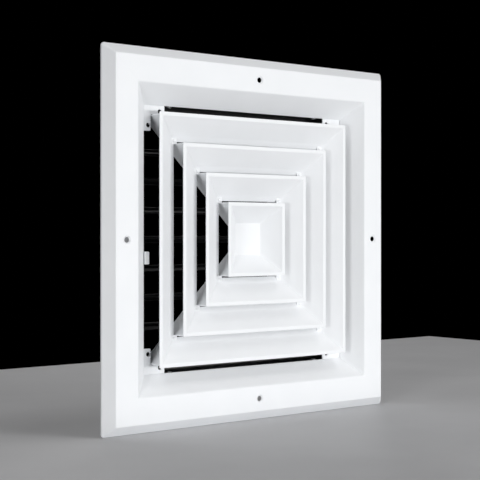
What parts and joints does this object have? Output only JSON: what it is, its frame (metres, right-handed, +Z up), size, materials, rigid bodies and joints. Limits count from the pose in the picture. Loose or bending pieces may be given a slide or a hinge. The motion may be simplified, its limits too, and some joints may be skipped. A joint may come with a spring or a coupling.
{
  "type": "ceiling air diffuser",
  "caption": "Square white ceiling air diffuser: bevelled flange, nested square louvre rings in a removable core, and a black opposed-blade damper with a sliding lever behind.",
  "frame": {"origin": "centre of the plane that bears on the ceiling, which is the back of the flange", "axes": "-Y out of the face into the room, +Y into the duct, +Z up on the face as it stands upright, +X to the right when facing it; on a ceiling the part is turned about X so that the face looks down"},
  "size_m": [0.45, 0.088, 0.45],
  "materials": {
    "white_coat": "satin",
    "black_coat": "satin",
    "zinc_steel": "satin",
    "spring_steel": "satin",
    "white_nylon": "satin"
  },
  "bodies": {
    "diffuser_frame": {"frame_top": "white_coat", "frame_right": "white_coat", "frame_bottom": "white_coat", "frame_left": "white_coat", "corner_bracket_top_left": "white_coat", "corner_bracket_top_right": "white_coat", "corner_bracket_bottom_left": "white_coat", "corner_bracket_bottom_right": "white_coat", "damper_frame_top": "black_coat", "damper_frame_right": "black_coat", "damper_frame_bottom": "black_coat", "damper_frame_left": "black_coat", "damper_screw_top_left": "zinc_steel", "damper_screw_top_right": "zinc_steel", "damper_screw_bottom_left": "zinc_steel", "damper_screw_bottom_right": "zinc_steel"},
    "core": {"louvre_outer_top": "white_coat", "louvre_outer_right": "white_coat", "louvre_outer_bottom": "white_coat", "louvre_outer_left": "white_coat", "louvre_middle_top": "white_coat", "louvre_middle_right": "white_coat", "louvre_middle_bottom": "white_coat", "louvre_middle_left": "white_coat", "louvre_inner_top": "white_coat", "louvre_inner_right": "white_coat", "louvre_inner_bottom": "white_coat", "louvre_inner_left": "white_coat", "centre_cone": "white_coat", "core_hub": "white_coat", "hub_screw": "zinc_steel", "spoke_top_left": "white_coat", "spoke_top_right": "white_coat", "spoke_bottom_left": "white_coat", "spoke_bottom_right": "white_coat", "core_clip_top_left": "spring_steel", "core_clip_top_right": "spring_steel", "core_clip_bottom_left": "spring_steel", "core_clip_bottom_right": "spring_steel"},
    "damper_blade_1": {"blade_1": "black_coat", "blade_shaft_1": "zinc_steel"},
    "damper_blade_2": {"blade_2": "black_coat", "blade_shaft_2": "zinc_steel"},
    "damper_blade_3": {"blade_3": "black_coat", "blade_shaft_3": "zinc_steel"},
    "damper_blade_4": {"blade_4": "black_coat", "blade_shaft_4": "zinc_steel"},
    "damper_blade_5": {"blade_5": "black_coat", "blade_shaft_5": "zinc_steel"},
    "damper_blade_6": {"blade_6": "black_coat", "blade_shaft_6": "zinc_steel"},
    "damper_blade_7": {"blade_7": "black_coat", "blade_shaft_7": "zinc_steel"},
    "damper_blade_8": {"blade_8": "black_coat", "blade_shaft_8": "zinc_steel"},
    "damper_blade_9": {"blade_9": "black_coat", "blade_shaft_9": "zinc_steel"},
    "linkage": {"linkage_bar": "zinc_steel", "damper_lever": "white_nylon"}
  },
  "joints": [
    {"name": "core_release", "type": "slide", "parent": "diffuser_frame", "child": "core", "axis": [0, -1, 0], "range_m": [0, 0.1]},
    {"name": "blade_1_turn", "type": "hinge", "parent": "diffuser_frame", "child": "damper_blade_1", "pos_m": [0, 0.0505, -0.1412], "axis": [-1, 0, 0], "range_deg": [-10, 70]},
    {"name": "blade_2_turn", "type": "hinge", "parent": "diffuser_frame", "child": "damper_blade_2", "pos_m": [0, 0.0505, -0.1059], "axis": [-1, 0, 0], "range_deg": [-70, 10]},
    {"name": "blade_3_turn", "type": "hinge", "parent": "diffuser_frame", "child": "damper_blade_3", "pos_m": [0, 0.0505, -0.0706], "axis": [-1, 0, 0], "range_deg": [-10, 70]},
    {"name": "blade_4_turn", "type": "hinge", "parent": "diffuser_frame", "child": "damper_blade_4", "pos_m": [0, 0.0505, -0.0353], "axis": [-1, 0, 0], "range_deg": [-70, 10]},
    {"name": "blade_5_turn", "type": "hinge", "parent": "diffuser_frame", "child": "damper_blade_5", "pos_m": [0, 0.0505, 0], "axis": [-1, 0, 0], "range_deg": [-10, 70]},
    {"name": "blade_6_turn", "type": "hinge", "parent": "diffuser_frame", "child": "damper_blade_6", "pos_m": [0, 0.0505, 0.0353], "axis": [-1, 0, 0], "range_deg": [-70, 10]},
    {"name": "blade_7_turn", "type": "hinge", "parent": "diffuser_frame", "child": "damper_blade_7", "pos_m": [0, 0.0505, 0.0706], "axis": [-1, 0, 0], "range_deg": [-10, 70]},
    {"name": "blade_8_turn", "type": "hinge", "parent": "diffuser_frame", "child": "damper_blade_8", "pos_m": [0, 0.0505, 0.1059], "axis": [-1, 0, 0], "range_deg": [-70, 10]},
    {"name": "blade_9_turn", "type": "hinge", "parent": "diffuser_frame", "child": "damper_blade_9", "pos_m": [0, 0.0505, 0.1412], "axis": [-1, 0, 0], "range_deg": [-10, 70]},
    {"name": "lever_slide", "type": "slide", "parent": "diffuser_frame", "child": "linkage", "axis": [0, 0, 1], "range_m": [-0.002, 0.0139]}
  ],
  "couplings": [
    {"joint": "blade_1_turn", "follows": "blade_5_turn", "ratio": 1},
    {"joint": "blade_2_turn", "follows": "blade_5_turn", "ratio": -1},
    {"joint": "blade_3_turn", "follows": "blade_5_turn", "ratio": 1},
    {"joint": "blade_4_turn", "follows": "blade_5_turn", "ratio": -1},
    {"joint": "blade_6_turn", "follows": "blade_5_turn", "ratio": -1},
    {"joint": "blade_7_turn", "follows": "blade_5_turn", "ratio": 1},
    {"joint": "blade_8_turn", "follows": "blade_5_turn", "ratio": -1},
    {"joint": "blade_9_turn", "follows": "blade_5_turn", "ratio": 1},
    {"joint": "lever_slide", "follows": "blade_5_turn", "m_per_rad": 0.01134}
  ]
}
